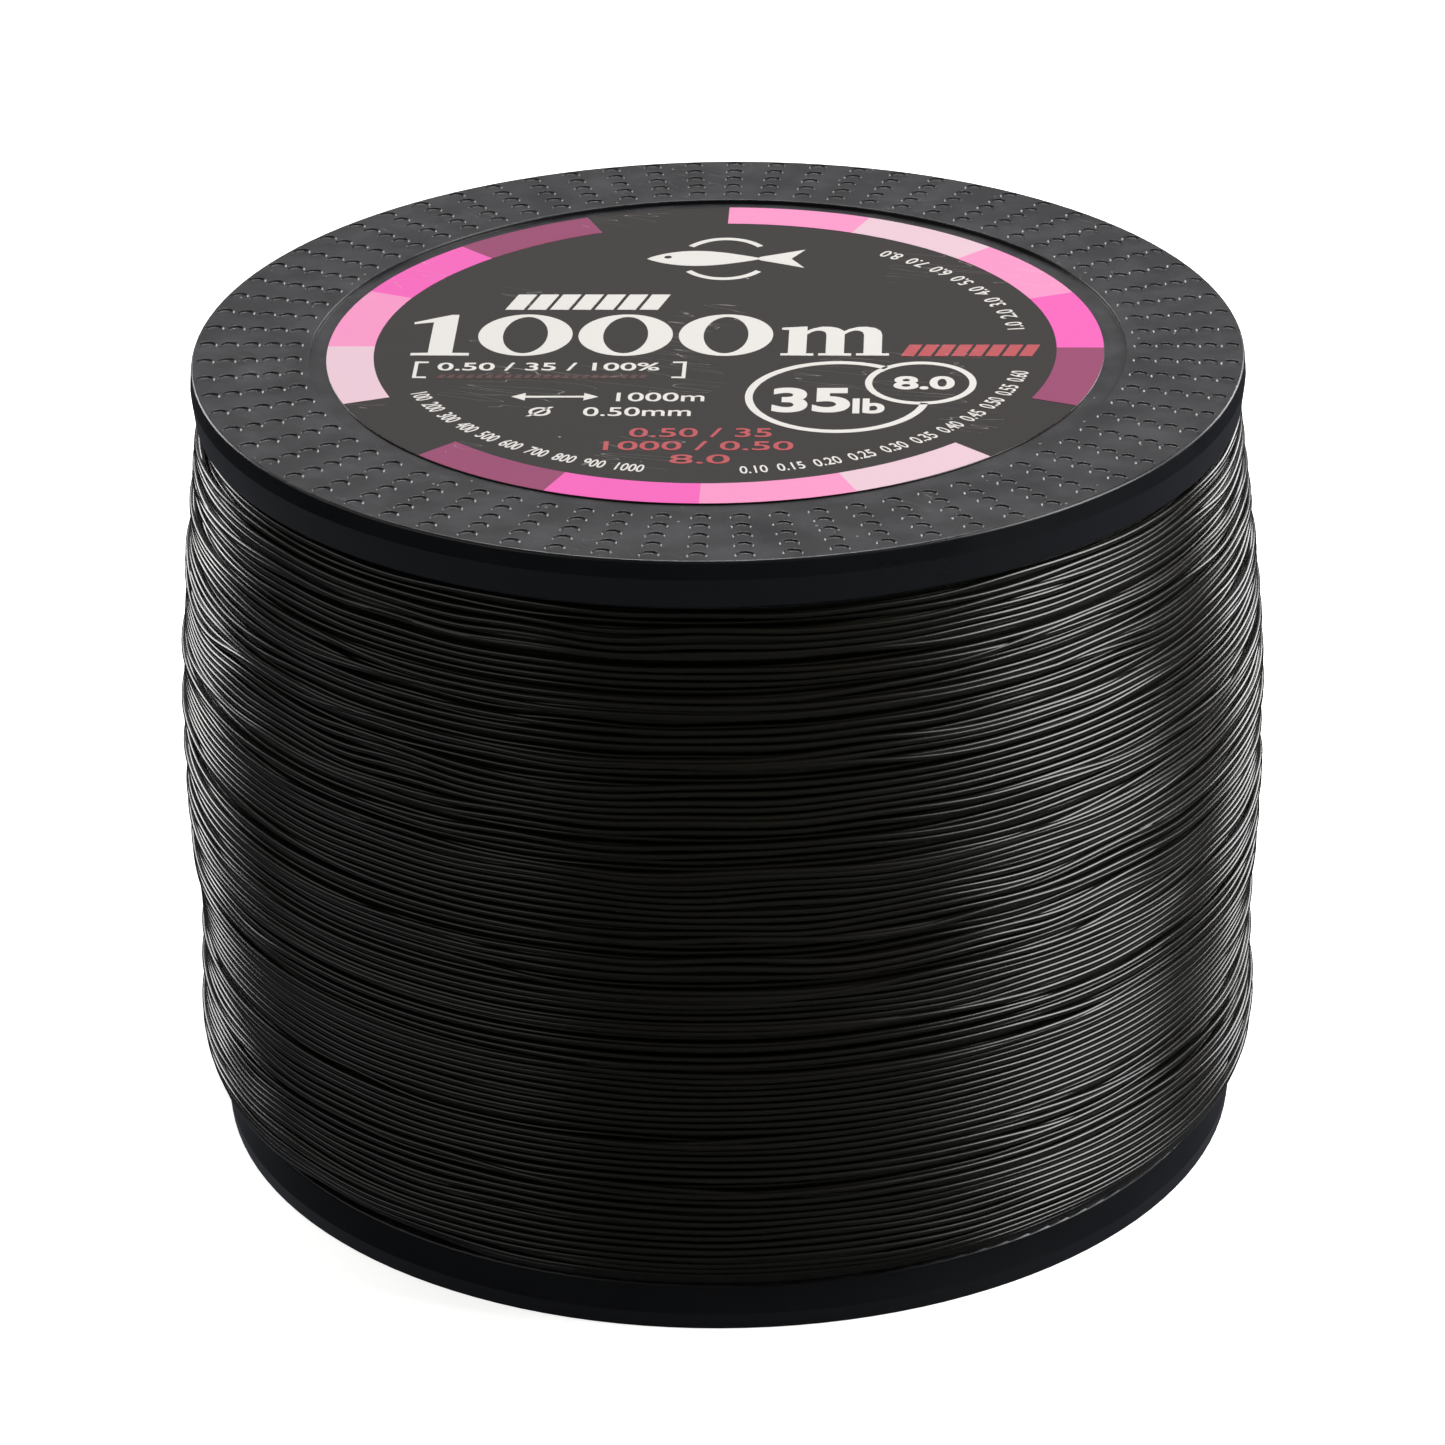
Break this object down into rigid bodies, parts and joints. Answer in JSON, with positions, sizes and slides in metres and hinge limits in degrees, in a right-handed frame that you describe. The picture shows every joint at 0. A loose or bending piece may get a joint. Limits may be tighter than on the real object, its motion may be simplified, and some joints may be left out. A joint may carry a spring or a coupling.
{
  "type": "fishing line spool",
  "caption": "Round bulk spool of dark nylon fishing line: dimpled flanges, snap-in core barrel, bulging wound line and round face labels.",
  "frame": {"origin": "on the spool's axis at the outer face of the lower flange, where the spool stands", "axes": "+Z along the spool's axis, from the lower flange to the upper one; -Y is the side the upper label reads from"},
  "size_m": [0.0878, 0.0878, 0.0658],
  "materials": {
    "flange_plastic": "black moulded plastic, satin",
    "barrel_plastic": "black moulded plastic, plain",
    "nylon_line": "smooth dark extruded nylon",
    "label_film": "printed gloss film"
  },
  "bodies": {
    "root": {"upper_flange": "flange_plastic", "lower_flange": "flange_plastic", "core_barrel": "barrel_plastic", "line_winding": "nylon_line", "line_start_knot": "nylon_line", "top_label": "label_film", "bottom_label": "label_film"}
  },
  "joints": []
}
